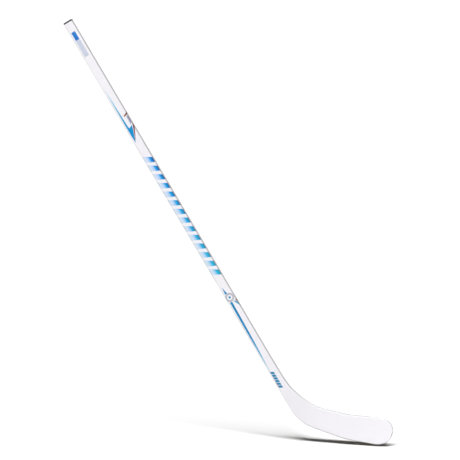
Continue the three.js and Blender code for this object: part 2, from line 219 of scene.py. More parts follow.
# %% Blotches: slow, uneven patches, for gloss and tone
def make_blotches():
    group, start, end = begin_group(
        "blotches", {"Patches per metre": 14, "Low": 0.25, "High": 0.35}, ["Value"])
    noise = add_node(group, "ShaderNodeTexNoise", Detail=4.0, Roughness=0.6)
    spread = add_node(group, "ShaderNodeMapRange", **{"From Min": 0.3, "From Max": 0.7})
    link = group.links.new
    link(start.outputs["Vector"], noise.inputs["Vector"])
    link(start.outputs["Patches per metre"], noise.inputs["Scale"])
    link(noise.outputs["Fac"], spread.inputs["Value"])
    link(start.outputs["Low"], spread.inputs["To Min"])
    link(start.outputs["High"], spread.inputs["To Max"])
    link(spread.outputs["Result"], end.inputs["Value"])
    return group


ORANGE_PEEL = make_orange_peel()
LAMINATE_WEAVE = make_laminate_weave()
BLOTCHES = make_blotches()
print("shared effects:", [group.name for group in bpy.data.node_groups])

# %% [markdown]
# ## The finishes
#
# The stick's white is a sprayed paint over the laminate, under a clear coat. It could be one
# flat colour with a low roughness, but real paint has a ripple of a few millimetres, and the weave
# beneath just shows at a grazing angle. Both are bump here, at heights of one to three
# hundredths of a millimetre, because they are too small for mesh.


# %% The base of every finish
def start_material(name, **shader_values):
    """A material with a Principled shader, and the shaft frame's position for its effects."""
    material = bpy.data.materials.new(name)
    material.use_nodes = True
    tree = material.node_tree
    shader = tree.nodes["Principled BSDF"]
    for label, value in shader_values.items():
        shader.inputs[label.replace("_", " ")].default_value = value
    row = tree.nodes.new("ShaderNodeTexCoord").outputs["Object"]
    turned = tree.nodes.new("ShaderNodeMapping")
    to_shaft = SHAFT_FRAME.inverted()
    turned.inputs["Location"].default_value = to_shaft.translation
    turned.inputs["Rotation"].default_value = to_shaft.to_euler()
    tree.links.new(row, turned.inputs["Vector"])
    return material, tree, shader, turned.outputs[0]


def add_bump(tree, shader, height, strength, distance, below=None):
    """A bump of a real height in metres, on top of another bump if one is given."""
    bump = add_node(tree, "ShaderNodeBump", Strength=strength, Distance=distance)
    tree.links.new(height, bump.inputs["Height"])
    if below is not None:
        tree.links.new(below.outputs["Normal"], bump.inputs["Normal"])
    tree.links.new(bump.outputs["Normal"], shader.inputs["Normal"])
    return bump


def add_tone(tree, shader, value, light, dark):
    """Mixes two colours by a varying value, into the base colour."""
    mix = add_node(tree, "ShaderNodeMix", data_type="RGBA")
    mix.inputs[MIX_A].default_value = light
    mix.inputs[MIX_B].default_value = dark
    tree.links.new(value, mix.inputs["Factor"])
    tree.links.new(mix.outputs[MIX_RESULT], shader.inputs["Base Color"])
    return mix


# %% Painted edge shade: a grey line along the blade's rim, standing in for the shade on its rounded edges
def add_painted_edge_shade(tree, shader, paint):
    """Greys the paint along the rim, as painted edge shade, by the rim value that the blade's
    vertices carry.
    """
    rim = add_node(tree, "ShaderNodeAttribute", attribute_name="rim")
    share = add_node(tree, "ShaderNodeMapRange", **{"From Min": 0.05, "From Max": 0.7,
                                                    "To Min": 0.0, "To Max": 0.8})
    tree.links.new(rim.outputs["Fac"], share.inputs["Value"])
    mix = add_node(tree, "ShaderNodeMix", data_type="RGBA")
    tree.links.new(share.outputs["Result"], mix.inputs["Factor"])
    tree.links.new(paint.outputs[MIX_RESULT], mix.inputs[MIX_A])
    # The grey of the painted edge shade, not a colour the paint has.
    mix.inputs[MIX_B].default_value = srgb("#858783")
    tree.links.new(mix.outputs[MIX_RESULT], shader.inputs["Base Color"])


# %% White paint under a clear coat
def make_white_paint(name, weave_height, with_painted_edge_shade):
    material, tree, shader, where = start_material(
        name, Coat_Weight=0.3, Coat_Roughness=0.12, IOR=1.4)
    tone = place_group(tree, BLOTCHES, where, Patches_per_metre=30, Low=0.0, High=1.0)
    paint = add_tone(tree, shader, tone.outputs["Value"], (0.785, 0.765, 0.80, 1),
                     (0.765, 0.75, 0.785, 1))
    # The blade's white gets a painted edge shade: a grey line along its rim.
    if with_painted_edge_shade:
        add_painted_edge_shade(tree, shader, paint)
    gloss = place_group(tree, BLOTCHES, where, Patches_per_metre=45, Low=0.3, High=0.4)
    tree.links.new(gloss.outputs["Value"], shader.inputs["Roughness"])
    weave = place_group(tree, LAMINATE_WEAVE, where, Tows_per_metre=330)
    below = add_bump(tree, shader, weave.outputs["Height"], 0.5, weave_height)
    peel = place_group(tree, ORANGE_PEEL, where, Ripples_per_metre=420, Fine_share=0.3)
    add_bump(tree, shader, peel.outputs["Height"], 0.5, 0.02 * MM, below)
    return material


# %% Printed inks: a colour ramp across or along the shaft
def colour_ramp(tree, position, stops):
    """A colour ramp. stops are (position, colour) pairs."""
    ramp = tree.nodes.new("ShaderNodeValToRGB")
    tree.links.new(position, ramp.inputs["Fac"])
    elements = ramp.color_ramp.elements
    while len(elements) < len(stops):
        elements.new(0.5)
    for element, (place, colour) in zip(elements, stops):
        element.position = place
        element.color = srgb(colour)
    return ramp.outputs["Color"]


def finish_ink(tree, shader, where):
    """The uneven gloss and the ripple that every ink shares."""
    gloss = place_group(tree, BLOTCHES, where, Patches_per_metre=45, Low=0.25, High=0.36)
    tree.links.new(gloss.outputs["Value"], shader.inputs["Roughness"])
    peel = place_group(tree, ORANGE_PEEL, where, Ripples_per_metre=420, Fine_share=0.3)
    add_bump(tree, shader, peel.outputs["Height"], 0.5, 0.015 * MM)


def make_ink(name, stops, axis="X", low=0.0, high=1.0):
    """stops are (position, colour) pairs along the axis between low and high, in metres."""
    material, tree, shader, where = start_material(
        name, Coat_Weight=0.3, Coat_Roughness=0.12, IOR=1.4)
    split = add_node(tree, "ShaderNodeSeparateXYZ")
    tree.links.new(where, split.inputs[0])
    place = add_node(tree, "ShaderNodeMapRange", **{"From Min": low, "From Max": high})
    tree.links.new(split.outputs[axis], place.inputs["Value"])
    grain = place_group(tree, BLOTCHES, where, Patches_per_metre=260, Low=-0.02, High=0.02)
    shifted = add_node(tree, "ShaderNodeMath", operation="ADD")
    tree.links.new(place.outputs["Result"], shifted.inputs[0])
    tree.links.new(grain.outputs["Value"], shifted.inputs[1])
    tree.links.new(colour_ramp(tree, shifted.outputs[0], stops), shader.inputs["Base Color"])
    finish_ink(tree, shader, where)
    return material


# %% Moulded plastic, foam and bare laminate
def make_black_plastic():
    material, tree, shader, where = start_material("moulded_black", IOR=1.47)
    tone = place_group(tree, BLOTCHES, where, Patches_per_metre=200, Low=0.0, High=1.0)
    add_tone(tree, shader, tone.outputs["Value"], srgb("#1f1f22"), srgb("#17171a"))
    gloss = place_group(tree, BLOTCHES, where, Patches_per_metre=120, Low=0.42, High=0.6)
    tree.links.new(gloss.outputs["Value"], shader.inputs["Roughness"])
    grain = place_group(tree, ORANGE_PEEL, where, Ripples_per_metre=2600, Fine_share=0.5)
    add_bump(tree, shader, grain.outputs["Height"], 0.8, 0.04 * MM)
    return material


def make_core_foam():
    material, tree, shader, where = start_material("core_foam", IOR=1.4)
    cells = add_node(tree, "ShaderNodeTexVoronoi", Scale=900)
    tree.links.new(where, cells.inputs["Vector"])
    add_tone(tree, shader, cells.outputs["Distance"], srgb("#cdbf95"), srgb("#e9dfc2"))
    gloss = place_group(tree, BLOTCHES, where, Patches_per_metre=60, Low=0.8, High=0.95)
    tree.links.new(gloss.outputs["Value"], shader.inputs["Roughness"])
    add_bump(tree, shader, cells.outputs["Distance"], 0.9, 0.2 * MM)
    return material


def make_bare_laminate():
    material, tree, shader, where = start_material("bare_laminate", Coat_Weight=0.3, IOR=1.55)
    weave = place_group(tree, LAMINATE_WEAVE, where, Tows_per_metre=500)
    add_tone(tree, shader, weave.outputs["Height"], srgb("#17181a"), srgb("#303236"))
    gloss = place_group(tree, BLOTCHES, where, Patches_per_metre=90, Low=0.3, High=0.5)
    tree.links.new(gloss.outputs["Value"], shader.inputs["Roughness"])
    add_bump(tree, shader, weave.outputs["Height"], 0.8, 0.08 * MM)
    return material


# The blade's white has a painted edge shade along its rim. The shaft's white has none.
WHITE_SHAFT = make_white_paint("white_paint_shaft", 0.010 * MM, with_painted_edge_shade=False)
WHITE_BLADE = make_white_paint("white_paint_blade", 0.025 * MM, with_painted_edge_shade=True)
BLACK_PLASTIC = make_black_plastic()
CORE_FOAM = make_core_foam()
BARE_LAMINATE = make_bare_laminate()
print("finishes:", [material.name for material in bpy.data.materials])

# %% [markdown]
# ## The shaft tube
#
# The shaft is a hollow rectangle with corners of a few millimetres. An extruded rectangle with
# a bevel would do, but a loft of rings keeps the corner arcs even, and the same rings serve the
# butt plug. The rings go up the outside and down the bore, so the tube really is hollow,
# and a Weighted Normal modifier keeps the flats flat beside the round corners.

# %% Ring tools
SHAFT_CORNER = 3.5 * MM
CORNER_STEPS = 10
SHARP_ANGLE = math.radians(40)


def rounded_rectangle(width, height, radius, steps=CORNER_STEPS):
    """Points of a rounded rectangle, anticlockwise, centred on the origin."""
    points = []
    signs = [(1, 1), (-1, 1), (-1, -1), (1, -1)]
    for quarter, (side_x, side_y) in enumerate(signs):
        for step in range(steps + 1):
            angle = (quarter + step / steps) * math.pi / 2
            points.append((side_x * (width / 2 - radius) + radius * math.cos(angle),
                           side_y * (height / 2 - radius) + radius * math.sin(angle)))
    return points


def loft(bm, rings, closed=True, joined_ends=False):
    """Joins rings of the same number of points with quads, and returns the rings' vertices."""
    made = [[bm.verts.new(point) for point in ring] for ring in rings]
    count = len(made[0])
    following_rings = made[1:] + ([made[0]] if joined_ends else [])
    for lower, upper in zip(made, following_rings):
        for side in range(count if closed else count - 1):
            following = (side + 1) % count
            bm.faces.new((lower[side], lower[following], upper[following], upper[side]))
    return made


def make_object(name, bm, matrix, material):
    """Turns the mesh into a smooth piece in its working frame that rides on the stick."""
    bmesh.ops.recalc_face_normals(bm, faces=bm.faces)
    bm.transform(matrix)
    mesh = bpy.data.meshes.new(name)
    bm.to_mesh(mesh)
    bm.free()
    mesh.polygons.foreach_set("use_smooth", [True] * len(mesh.polygons))
    mesh.set_sharp_from_angle(angle=SHARP_ANGLE)
    mesh.materials.append(material)
    piece = bpy.data.objects.new(name, mesh)
    bpy.context.scene.collection.objects.link(piece)
    weighted = piece.modifiers.new("weighted_normals", "WEIGHTED_NORMAL")
    weighted.keep_sharp = True
    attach(piece, "root")
    return piece


# %% The tube
SHAFT_WALL = 1.8 * MM
HOSEL_JOINT = 190 * MM
FIT_GAP = 0.3 * MM
CAP_HEIGHT = 4.4 * MM
RING_PITCH = 40 * MM
LEAST_CORNER = 1.2 * MM


def shaft_ring(inset, height):
    outline = rounded_rectangle(SHAFT_WIDTH - 2 * inset, SHAFT_DEPTH - 2 * inset,
                                max(SHAFT_CORNER - inset, LEAST_CORNER))
    return [(x, y, height) for x, y in outline]


def make_shaft():
    top = SHAFT_LENGTH - CAP_HEIGHT - FIT_GAP / 2
    spans = round((top - HOSEL_JOINT) / RING_PITCH)
    heights = [HOSEL_JOINT + (top - HOSEL_JOINT) * span / spans for span in range(spans + 1)]
    outside = [shaft_ring(0, height) for height in heights]
    bore = [shaft_ring(SHAFT_WALL, height) for height in reversed(heights)]
    bm = bmesh.new()
    loft(bm, outside + bore, joined_ends=True)
    shaft = make_object("shaft_shell", bm, SHAFT_FRAME, WHITE_SHAFT)
    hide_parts("shaft_tube")
    return shaft


shaft_shell = make_shaft()
print("shaft rings, outside and bore:", len(shaft_shell.data.vertices) // (4 * (CORNER_STEPS + 1)))

# %% [markdown]
# ## The butt plug
#
# The end plug is a moulded piece: a head with the shaft's outline and a low dome, and a ribbed
# stem that is glued into the bore. It is one loft of rings, from the tip of the stem to the
# middle of the dome. The step under the head is two rings at the same height.

# %% The plug
STEM_LENGTH = 42 * MM
STEM_RIBS = 4
STEM_TIP_INSET = 1.5 * MM
GROOVE_DEPTH = 0.7 * MM
RIB_HALF_SHARE = 0.1
DOME_STEPS = 8
DOME_INSET = 3 * MM
DOME_FOOT, DOME_RISE = 0.45, 0.54


def plug_rings():
    head = SHAFT_LENGTH - CAP_HEIGHT
    stem = SHAFT_WALL + FIT_GAP
    groove = stem + GROOVE_DEPTH
    pitch = STEM_LENGTH / (STEM_RIBS + 1)
    rings = [shaft_ring(stem + STEM_TIP_INSET, head - STEM_LENGTH)]
    for rib in range(1, STEM_RIBS + 1):
        middle = head - STEM_LENGTH + rib * pitch
        rings.append(shaft_ring(groove, middle - pitch / 2))
        rings.append(shaft_ring(stem, middle - pitch * RIB_HALF_SHARE))
        rings.append(shaft_ring(stem, middle + pitch * RIB_HALF_SHARE))
    rings += [shaft_ring(groove, head), shaft_ring(0, head)]
    for step in range(DOME_STEPS + 1):
        angle = step / DOME_STEPS * math.pi / 2
        rise = CAP_HEIGHT * (DOME_FOOT + DOME_RISE * math.sin(angle))
        rings.append(shaft_ring(DOME_INSET * (1 - math.cos(angle)), head + rise))
    return rings


def make_plug():
    bm = bmesh.new()
    made = loft(bm, plug_rings())
    bm.faces.new(reversed(made[0]))
    bm.faces.new(made[-1])
    plug = make_object("butt_plug_moulded", bm, SHAFT_FRAME, BLACK_PLASTIC)
    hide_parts("butt_plug")
    return plug


butt_plug = make_plug()
print("plug faces:", len(butt_plug.data.polygons))

# %% [markdown]
# ## The blade
#
# The blade starts as the shaft's own rectangle at the glued joint, thins through the hosel, turns
# through the lie angle and ends in a rounded toe, bowed towards the forehand side. A
# subdivided cage could be pushed into that shape, but the outline would only be roughly
# right. Instead two curves hold the bottom and top edge in pairs of points, and a section is
# strung between each pair. The toe is two quarters of superellipses that meet at its tip.
#
# The real blade is moulded as one shell, so its two skins share an edge. They are made as two
# half shells, split along the middle of that edge, with a real wall.

# %% The outline in pairs of points, in the blade frame
# Each row is bottom x and z, then top x and z, in millimetres from the heel corner. A hosel
# pair is a height up the shaft and the flare there. A toe start is x, z and the curve's power.
BLADE_PAIRS = [
    (-60.5, 59.2, -45, 89),
    (-35.6, 34.9, -30, 80.5),
    (-17, 17, -15.8, 73.5),
    (3, 4.6, 0, 66.9),
    (24, -4.6, 25, 58.8),
    (52, -8.4, 52, 54.7),
    (92, -10.9, 92, 55.8),
    (142, -13, 142, 59.3),
    (190, -8.6, 190, 68),
]
HOSEL_PAIRS = ((190, 0), (130, 1), (105, 3))
TOE_TIP = (274.37, 39.3)
TOE_BOTTOM = (214, -5.5, 2.15)
TOE_TOP = (236, 75.1, 2.3)
TOE_ANGLES = (0, 22, 42, 58, 70, 79, 85)


def hosel_pair(height, flare):
    up = Vector((math.cos(LIE_ANGLE), 0, math.sin(LIE_ANGLE)))
    side = Vector((up.z, 0, -up.x))
    bottom = up * height
    return bottom, bottom + side * (SHAFT_WIDTH / MM + flare)


def toe_point(start, angle):
    """A point on the quarter superellipse from the start to the tip of the toe."""
    x, z, power = start
    along = math.sin(angle) ** (2 / power)
    rise = math.cos(angle) ** (2 / power)
    return Vector((x + (TOE_TIP[0] - x) * along, 0, TOE_TIP[1] + (z - TOE_TIP[1]) * rise))


outline = [hosel_pair(height, flare) for height, flare in HOSEL_PAIRS]
outline += [(Vector((bx, 0, bz)), Vector((tx, 0, tz))) for bx, bz, tx, tz in BLADE_PAIRS]
outline += [(toe_point(TOE_BOTTOM, math.radians(angle)), toe_point(TOE_TOP, math.radians(angle)))
            for angle in TOE_ANGLES]
print("outline pairs:", len(outline))


# %% A smooth curve through the pairs
def spline_point(points, place):
    """A centripetal Catmull-Rom curve through the points; place counts points from the first."""
    index = min(int(place), len(points) - 2)
    share = place - index
    p1, p2 = points[index], points[index + 1]
    p0 = points[index - 1] if index > 0 else 2 * p1 - p2
    p3 = points[index + 2] if index + 2 < len(points) else 2 * p2 - p1
    d0, d1, d2 = ((b - a).length ** 0.5 for a, b in ((p0, p1), (p1, p2), (p2, p3)))
    slope1 = ((p1 - p0) / d0 - (p2 - p0) / (d0 + d1) + (p2 - p1) / d1) * d1
    slope2 = ((p2 - p1) / d1 - (p3 - p1) / (d1 + d2) + (p3 - p2) / d2) * d1
    t2, t3 = share ** 2, share ** 3
    return (p1 * (2 * t3 - 3 * t2 + 1) + slope1 * (t3 - 2 * t2 + share)
            + p2 * (3 * t2 - 2 * t3) + slope2 * (t3 - t2))


# %% Thickness, bow and open face
def smoothstep(value, low, high):
    share = min(max((value - low) / (high - low), 0), 1)
    return share * share * (3 - 2 * share)


TAPER_START, TAPER_END = -66, 40
HEEL_THICKNESS, TOE_THICKNESS = 8.5, 5.5
TOE_EDGE_RADIUS = 2.8
TOE_EDGE_LIMIT = 0.97
BOW_DEPTH, BOW_START, BOW_POWER = 12.98, 20, 1.7
OPEN_FACE = math.radians(3)


def blade_thickness(x):
    fade = smoothstep(x, TAPER_START, TAPER_END)
    toeward = min(max((x - TAPER_END) / (TOE_TIP[0] - TAPER_END), 0), 1)
    depth = SHAFT_DEPTH / MM
    body = depth + (HEEL_THICKNESS - depth) * fade
    thickness = body + (TOE_THICKNESS - body) * toeward
    past = min(max((x - TOE_TIP[0] + TOE_EDGE_RADIUS) / TOE_EDGE_RADIUS, 0), TOE_EDGE_LIMIT)
    return thickness * math.sqrt(1 - past * past)


def section_frame(place):
    """Middle, up direction, height, thickness and lean of the section at a place."""
    bottom = spline_point([pair[0] for pair in outline], place)
    top = spline_point([pair[1] for pair in outline], place)
    middle = (bottom + top) / 2
    lean = math.tan(OPEN_FACE * min(max(middle.x / TOE_TIP[0], 0), 1))
    return middle, (top - bottom).normalized(), (top - bottom).length, \
        blade_thickness(middle.x), lean


def section_point(section, through, along):
    middle, up, _, _, lean = section
    point = middle + up * along
    bow = max(0, (point.x - BOW_START) / (TOE_TIP[0] - BOW_START)) ** BOW_POWER
    point.y = through + along * lean - BOW_DEPTH * bow
    return point * MM


# %% Half of a section, and its share of the painted edge shade
ARC_STEPS = 7
FACE_STEPS = 8
PARTING = 0.02
LEAST_RADIUS = 0.4
MOST_INSET_SHARE = 0.35
MOST_RADIUS_SHARE = 0.46
# How far the painted edge shade reaches round the toe, and where it fades along the blade, in
# millimetres.
EDGE_SHADE_TOE_REACH = 2.5
EDGE_SHADE_FADE_START, EDGE_SHADE_FADE_END = -90, 110


def half_section(section, side, inset):
    """Half of a rounded section, from the middle of its top edge round to the bottom one."""
    _, _, height, thickness, _ = section
    inset = min(inset, MOST_INSET_SHARE * thickness)
    radius = min(max(SHAFT_CORNER / MM - inset, LEAST_RADIUS),
                 MOST_RADIUS_SHARE * thickness - inset)
    rim = height / 2 - inset
    flat = thickness / 2 - inset
    turns = [math.pi / 2 * step / ARC_STEPS for step in range(ARC_STEPS + 1)]
    arc = [(flat - radius + radius * math.sin(turn), rim - radius + radius * math.cos(turn))
           for turn in turns]
    face = [(flat, (rim - radius) * (1 - 2 * step / FACE_STEPS)) for step in range(1, FACE_STEPS)]
    below = [(through, -along) for through, along in reversed(arc)]
    path = [(PARTING, rim)] + arc + face + below + [(PARTING, -rim)]
    return [section_point(section, side * through, along) for through, along in path]


def painted_edge_shade_share(section, index):
    """How much painted edge shade a vertex gets: 1 on the middle of the edge, 0 on the broad face,
    fading to 0 up the hosel.
    """
    last = 2 * ARC_STEPS + FACE_STEPS + 2
    from_edge = min(index, last - index) / (ARC_STEPS + 1)
    toeward = min(max((section[0].x - TOE_TIP[0] + EDGE_SHADE_TOE_REACH) / EDGE_SHADE_TOE_REACH, 0), 1)
    along = smoothstep(section[0].x, EDGE_SHADE_FADE_START, EDGE_SHADE_FADE_END)
    return max(1 - min(from_edge, 1), toeward) * along


# %% The two half shells
STEPS_PER_PAIR = 6
BLADE_WALL = 1.2
CAVITY_STOPS_SHORT = 9


def strip(bm, line, other_line):
    """Quads between two lines of vertices of the same length."""
    for index in range(len(line) - 1):
        bm.faces.new((line[index], line[index + 1], other_line[index + 1], other_line[index]))


def make_blade_half(name, side, node):
    steps = (len(outline) - 1) * STEPS_PER_PAIR
    sections = [section_frame(step / STEPS_PER_PAIR) for step in range(steps + 1)]
    bm = bmesh.new()
    painted_edge_shade_layer = bm.verts.layers.float.new("rim")
    skin = loft(bm, [half_section(section, side, 0) for section in sections], closed=False)
    cavity_sections = sections[:-CAVITY_STOPS_SHORT]
    cavity = loft(bm, [half_section(section, side, BLADE_WALL) for section in cavity_sections],
                  closed=False)
    # Each skin vertex carries its share of painted edge shade in the rim attribute.
    for section, ring in zip(sections, skin):
        for index, vertex in enumerate(ring):
            vertex[painted_edge_shade_layer] = painted_edge_shade_share(section, index)
    reach = len(cavity)
    strip(bm, skin[0], cavity[0])
    for edge in (0, -1):
        strip(bm, [ring[edge] for ring in skin[:reach]], [ring[edge] for ring in cavity])
    toe_top = [ring[0] for ring in skin[reach - 1:]]
    toe_bottom = [ring[-1] for ring in skin[reach - 1:]]
    bm.faces.new(cavity[-1])
    bm.faces.new(skin[-1])
    bm.faces.new((*toe_top[:2], toe_bottom[1], toe_bottom[0], cavity[-1][-1], cavity[-1][0]))
    strip(bm, toe_top[1:], toe_bottom[1:])
    half = make_object(name, bm, BLADE_FRAME, WHITE_BLADE)
    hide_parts(node)
    return half


blade_front = make_blade_half("blade_forehand_shell", -1, "blade_front_skin")
blade_back = make_blade_half("blade_backhand_shell", 1, "blade_back_skin")
print("blade faces:", len(blade_front.data.polygons) + len(blade_back.data.polygons))

# %% [markdown]
# ## The printed marks
#
# The marks are ink films under the clear coat. They could be painted with masks in the white
# material, but on a stick 1.3 m long a baked picture would blur them. So each mark is a real film,
# a few hundredths of a millimetre thick. It is drawn flat, as shaft heights and distances
# across the face, and then wrapped: past the edge of the flat it follows the corner's arc and
# goes on down the narrow side. All of them are plain shapes: bars, stripes, a ring and a dot.

# %% Wrapping a flat outline round the shaft
FLAT_HALF = SHAFT_WIDTH / 2 - SHAFT_CORNER
CORNER_LENGTH = SHAFT_CORNER * math.pi / 2
FILM_LIFT = 0.03 * MM
FILM_THICKNESS = 0.05 * MM


def wrap_point(across_mm, height_mm, side):
    """A point on the shaft's skin. across is measured along the skin from the face's middle."""
    reach = abs(across_mm) * MM
    sign = math.copysign(1, across_mm)
    depth = SHAFT_DEPTH / 2
    radius = SHAFT_CORNER + FILM_LIFT
    if reach <= FLAT_HALF:
        x, y = reach, depth + FILM_LIFT
    elif reach <= FLAT_HALF + CORNER_LENGTH:
        turn = (reach - FLAT_HALF) / SHAFT_CORNER
        x = FLAT_HALF + radius * math.sin(turn)
        y = depth - SHAFT_CORNER + radius * math.cos(turn)
    else:
        x = SHAFT_WIDTH / 2 + FILM_LIFT
        y = depth - SHAFT_CORNER - (reach - FLAT_HALF - CORNER_LENGTH)
    return Vector((sign * x, side * y, height_mm * MM))


def outward(point, side):
    """Straight out of the shaft's skin at a point on it."""
    beyond = max(abs(point.x) - FLAT_HALF, 0)
    above = max(point.y * side - (SHAFT_DEPTH / 2 - SHAFT_CORNER), 0)
    return Vector((math.copysign(beyond, point.x), side * above, 0)).normalized()


def corner_cuts():
    """Where a film is cut so that it can bend, in millimetres across."""
    steps = 8
    cuts = [(FLAT_HALF + CORNER_LENGTH * step / steps) / MM for step in range(steps + 1)]
    return cuts + [-cut for cut in cuts]


def add_thickness(bm, side):
    """Makes the wrapped sheet a closed film. The copy of the sheet lies outside the first."""
    sheet = list(bm.faces)
    outer = bmesh.ops.duplicate(bm, geom=[*bm.verts, *bm.edges, *bm.faces])
    pairs = outer["vert_map"]
    for vertex in [item for item in outer["geom"] if isinstance(item, bmesh.types.BMVert)]:
        vertex.co += outward(vertex.co, side) * FILM_THICKNESS
    for edge in [edge for face in sheet for edge in face.edges]:
        if len(edge.link_faces) == 1:
            low, high = edge.verts
            bm.faces.new((low, high, pairs[high], pairs[low]))


def make_film(name, faces, side, material, nodes=()):
    """faces are outlines of (across, height) points in millimetres, drawn flat."""
    bm = bmesh.new()
    for face in faces:
        bm.faces.new([bm.verts.new((across_mm, 0, height_mm)) for across_mm, height_mm in face])
    bmesh.ops.remove_doubles(bm, verts=bm.verts, dist=0.001)
    for cut in corner_cuts():
        everything = [*bm.verts, *bm.edges, *bm.faces]
        bmesh.ops.bisect_plane(bm, geom=everything, plane_co=(cut, 0, 0), plane_no=(1, 0, 0))
    bmesh.ops.triangulate(bm, faces=bm.faces)
    for vertex in bm.verts:
        vertex.co = wrap_point(vertex.co.x, vertex.co.z, side)
    add_thickness(bm, side)
    piece = make_object(name, bm, SHAFT_FRAME, material)
    if nodes:
        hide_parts(*nodes)
    return piece


SIDES = {"front": -1, "back": 1}

# %% [markdown]
# ### The slanted bars
#
# The row of bars is the stick's main decoration: one bar, repeated by a loop at an even pitch.
# Each fades across the shaft from pale lavender to a strong blue at the toe side, and the blue
# turns slightly greener from bar to bar down the shaft. The fade is a colour ramp on the shaft
# frame's x, and the change along the row is a second ramp, mixed in by z.

# %% The bars' ink
BAR_COUNT = 14
BAR_FIRST = 876
BAR_PITCH = 28.75
BAR_LENGTH = 17
BAR_SLANT = 0.52
BAR_EDGE = 14.6
BAR_FLAT_EDGE = 9.75
BAR_DROP = 2
BAR_GROWTH = 4
BAR_NARROWING = 5


def make_bar_ink():
    material, tree, shader, where = start_material(
        "bar_ink", Coat_Weight=0.3, Coat_Roughness=0.12, IOR=1.4)
    split = add_node(tree, "ShaderNodeSeparateXYZ")
    tree.links.new(where, split.inputs[0])
    across_share = add_node(tree, "ShaderNodeMapRange",
                            **{"From Min": -SHAFT_WIDTH / 2, "From Max": SHAFT_WIDTH / 2})
    tree.links.new(split.outputs["X"], across_share.inputs["Value"])
    first = [(0.0, "#cdd2de"), (0.25, "#c9d4e6"), (0.45, "#b3c8ea"), (0.58, "#8fb9e8"),
             (0.66, "#3f9fdf"), (0.76, "#0083d2"), (0.88, "#0068be"), (1.0, "#0a4690")]
    last = [(0.0, "#cfd4dd"), (0.25, "#c6d6e2"), (0.45, "#aacbe4"), (0.58, "#84bcdf"),
            (0.66, "#4cb0d6"), (0.76, "#25adcf"), (0.88, "#25a5c0"), (1.0, "#2a84a8")]
    upper = colour_ramp(tree, across_share.outputs["Result"], first)
    lower = colour_ramp(tree, across_share.outputs["Result"], last)
    row_end = (BAR_FIRST - BAR_COUNT * BAR_PITCH) * MM
    down_row = add_node(tree, "ShaderNodeMapRange",
                        **{"From Min": BAR_FIRST * MM, "From Max": row_end})
    tree.links.new(split.outputs["Z"], down_row.inputs["Value"])
    mix = add_node(tree, "ShaderNodeMix", data_type="RGBA")
    tree.links.new(down_row.outputs["Result"], mix.inputs["Factor"])
    tree.links.new(upper, mix.inputs[MIX_A])
    tree.links.new(lower, mix.inputs[MIX_B])
    tree.links.new(mix.outputs[MIX_RESULT], shader.inputs["Base Color"])
    finish_ink(tree, shader, where)
    return material


BAR_INK = make_bar_ink()


# %% The bars
def slanted_bar(bottom, length, left, right, narrowing=0):
    """A bar whose length shrinks by the narrowing from its left end to its right one."""
    fall = (right - left) * BAR_SLANT
    right_bottom = bottom - fall + narrowing / 2
    return [(left, bottom), (right, right_bottom),
            (right, right_bottom + length - narrowing), (left, bottom + length)]


def make_bars():
    made = []
    for side_name, side in SIDES.items():
        for bar in range(BAR_COUNT):
            slant_shift = (BAR_EDGE - BAR_FLAT_EDGE) * BAR_SLANT - BAR_DROP
            bottom = BAR_FIRST - BAR_LENGTH - bar * BAR_PITCH + slant_shift
            number = f"{bar + 1:02d}_{side_name}"
            outline_points = slanted_bar(bottom, BAR_LENGTH + BAR_GROWTH, -BAR_EDGE, BAR_EDGE,
                                         BAR_NARROWING)
            made.append(make_film(f"bar_film_{number}", [outline_points], side, BAR_INK,
                                  [f"bar_{number}"]))
    return made


print("bars:", len(make_bars()))

# %% [markdown]
# ### Stripes, accents, badge and label
#
# A pinstripe grows out of nothing near the grip and ends in an arrow, another tapers away
# below the badge. A stripe that fades is not see-through ink: it is printed in ever paler
# colour, so a ramp along the shaft gives it, ending in the paint's white or close to it.
# Outlines are short lists of points in millimetres, with straight sides.

# %% Inks for the single marks
PAINT_WHITE = "#e4e2e7"


def z_ink(name, stops, low_mm, high_mm):
    return make_ink(name, stops, "Z", low_mm * MM, high_mm * MM)


SKY_STRIPE = z_ink("upper_stripe_ink",
                   [(0.0, "#007fba"), (0.42, "#0e92c9"), (0.66, "#55b0d5"),
                    (0.86, "#b4d2e2"), (1.0, PAINT_WHITE)],
                   920, 1108)
DEEP_STRIPE = z_ink("lower_stripe_ink",
                    [(0.0, "#c6d8e6"), (0.25, "#52a6cb"), (0.5, "#0a80b6"), (1.0, "#007cae")],
                    161, 390)
RED_INK = make_ink("red_ink", [(0.0, "#c4918d"), (0.35, "#8f4a45"), (0.7, "#6a2f2b"),
                               (1.0, "#6a2f2b")], "X", 0, 13 * MM)
TEAL_INK = make_ink("teal_ink", [(0.0, "#0c7fb4"), (1.0, "#1f97b8")], "X", -10 * MM, 13 * MM)
HEEL_INK = make_ink("heel_ink", [(0.0, "#0f689f"), (1.0, "#2389ae")], "X", -13 * MM, 2 * MM)
GREY_INK = make_ink("grey_ink", [(0.0, "#aeb0bb"), (1.0, "#b3afb8")], "X", -13 * MM, 13 * MM)
SHADE_INK = make_ink("shade_ink", [(0.0, "#a6b4ca"), (1.0, "#858099")], "X", 8 * MM, 13 * MM)
LABEL_BLUE = z_ink("label_blue", [(0.0, "#206dc0"), (1.0, "#2c79c5")], 1259, 1286)
LABEL_PALE = z_ink("label_pale", [(0.0, "#b3b8c9"), (0.12, "#c0c6d4"), (1.0, "#bdc3d4")],
                   1206, 1259)


# %% The single marks, front and back
def upright(left, right, bottom, top):
    return [(left, bottom), (right, bottom), (right, top), (left, top)]


